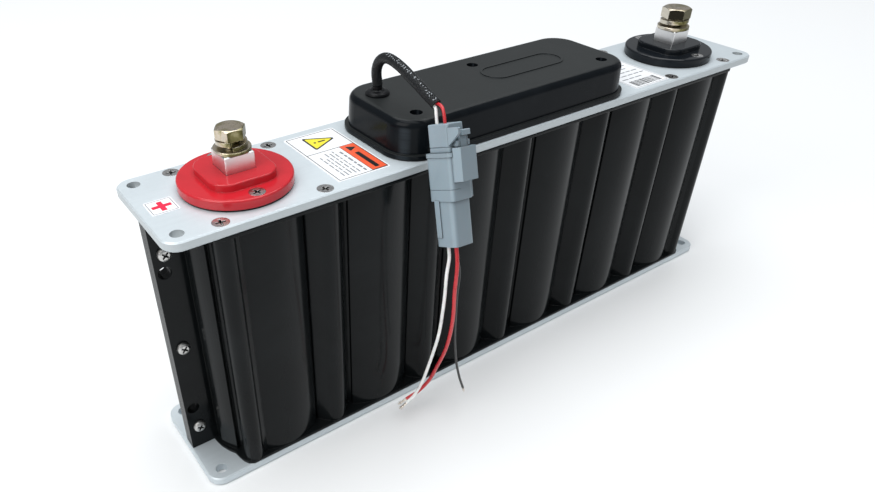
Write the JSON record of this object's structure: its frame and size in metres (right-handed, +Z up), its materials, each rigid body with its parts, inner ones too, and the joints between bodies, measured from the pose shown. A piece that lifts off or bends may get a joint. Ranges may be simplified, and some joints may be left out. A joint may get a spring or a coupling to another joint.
{
  "type": "battery pack",
  "caption": "Energy storage pack: a row of round cells between two flat end plates, ribbed side shells, insulated bolt terminals, and a cable with a latching plug.",
  "frame": {"origin": "centre of the bottom plate's underside", "axes": "+X along the row of cells from the positive to the negative terminal, +Y to the back, away from the hanging lead, +Z up towards the terminals"},
  "size_m": [0.418, 0.1068, 0.2011],
  "materials": {
    "plate_aluminium": "satin anodised",
    "case_black": "glossy moulded",
    "cover_black": "satin top, glossy sides",
    "seal_black": "matte",
    "flange_red": "satin gloss moulded",
    "flange_black": "glossy moulded",
    "post_aluminium": "machined satin",
    "zinc_yellow": "yellow zinc plated",
    "screw_steel": "bright zinc plated",
    "cell_can": "drawn",
    "cell_sleeve": "heat shrink",
    "busbar_aluminium": "milled",
    "insulator_sheet": "matte sheet",
    "board_green": "solder mask",
    "standoff_brass": "turned",
    "chip_black": "moulded",
    "resistor_white": "ceramic",
    "connector_grey": "moulded nylon",
    "contact_tin": "tin plated",
    "braid_black": "braided sleeve",
    "wire_red": "wire insulation",
    "wire_black": "wire insulation",
    "wire_white": "wire insulation",
    "label_plus": "printed film",
    "label_hazard": "printed film",
    "label_data": "printed film"
  },
  "bodies": {
    "pack": {"balancing_board": "board_green", "board_standoffs": "standoff_brass", "bottom_busbar_1_2": "busbar_aluminium", "bottom_busbar_3_4": "busbar_aluminium", "bottom_busbar_5_6": "busbar_aluminium", "bottom_insulator": "insulator_sheet", "bottom_plate": "plate_aluminium", "bottom_plate_screws": "screw_steel", "bypass_resistors": "resistor_white", "cable_grommet": "seal_black", "cable_sleeve": "braid_black", "cell_1": "cell_can", "cell_2": "cell_can", "cell_3": "cell_can", "cell_4": "cell_can", "cell_5": "cell_can", "cell_6": "cell_can", "cell_sleeves": "cell_sleeve", "connector_plug": "connector_grey", "control_chips": "chip_black", "cover": "cover_black", "cover_gasket": "seal_black", "cover_screws": "screw_steel", "data_label": "label_data", "flange_screws": "screw_steel", "front_shell": "case_black", "hazard_label": "label_hazard", "negative_flange_gasket": "seal_black", "negative_terminal_flange": "flange_black", "negative_terminal_post": "post_aluminium", "pigtail_wire_black": "wire_black", "pigtail_wire_red": "wire_red", "pigtail_wire_white": "wire_white", "plug_seal": "seal_black", "plus_label": "label_plus", "positive_flange_gasket": "seal_black", "positive_terminal_flange": "flange_red", "positive_terminal_post": "post_aluminium", "rear_shell": "case_black", "sense_wires": "wire_red", "shell_nuts": "screw_steel", "shell_screws": "screw_steel", "socket_contacts": "contact_tin", "top_busbar_2_3": "busbar_aluminium", "top_busbar_4_5": "busbar_aluminium", "top_insulator": "insulator_sheet", "top_plate": "plate_aluminium", "top_plate_screws": "screw_steel"},
    "positive_washers": {"positive_flat_washer": "zinc_yellow", "positive_spring_washer": "zinc_yellow"},
    "positive_bolt": {"positive_terminal_bolt": "zinc_yellow"},
    "negative_washers": {"negative_flat_washer": "zinc_yellow", "negative_spring_washer": "zinc_yellow"},
    "negative_bolt": {"negative_terminal_bolt": "zinc_yellow"},
    "connector_latch": {"plug_latch": "connector_grey"},
    "connector_half": {"connector_receptacle": "connector_grey", "pin_contacts": "contact_tin", "lead_wire_black": "wire_black", "lead_wire_red": "wire_red", "lead_wire_white": "wire_white"}
  },
  "joints": [
    {"name": "positive_bolt_turn", "type": "hinge", "parent": "positive_washers", "child": "positive_bolt", "pos_m": [-0.16, 0, 0.1748], "axis": [0, 0, 1], "range_deg": [0, 3600]},
    {"name": "positive_bolt_lift", "type": "slide", "parent": "pack", "child": "positive_washers", "axis": [0, 0, 1], "range_m": [0, 0.0125]},
    {"name": "negative_bolt_turn", "type": "hinge", "parent": "negative_washers", "child": "negative_bolt", "pos_m": [0.16, 0, 0.1748], "axis": [0, 0, 1], "range_deg": [0, 2880]},
    {"name": "negative_bolt_lift", "type": "slide", "parent": "pack", "child": "negative_washers", "axis": [0, 0, 1], "range_m": [0, 0.012]},
    {"name": "latch_press", "type": "hinge", "parent": "pack", "child": "connector_latch", "pos_m": [-0.06641, -0.05259, 0.17305], "axis": [-0.972, -0.149, 0.1818], "range_deg": [0, 5]},
    {"name": "connector_unplug", "type": "slide", "parent": "pack", "child": "connector_half", "axis": [-0.1152, -0.3724, -0.9209], "range_m": [0, 0.025]}
  ],
  "couplings": [
    {"joint": "positive_bolt_lift", "follows": "positive_bolt_turn", "m_per_rad": 0.00019894},
    {"joint": "negative_bolt_lift", "follows": "negative_bolt_turn", "m_per_rad": 0.00023873}
  ]
}
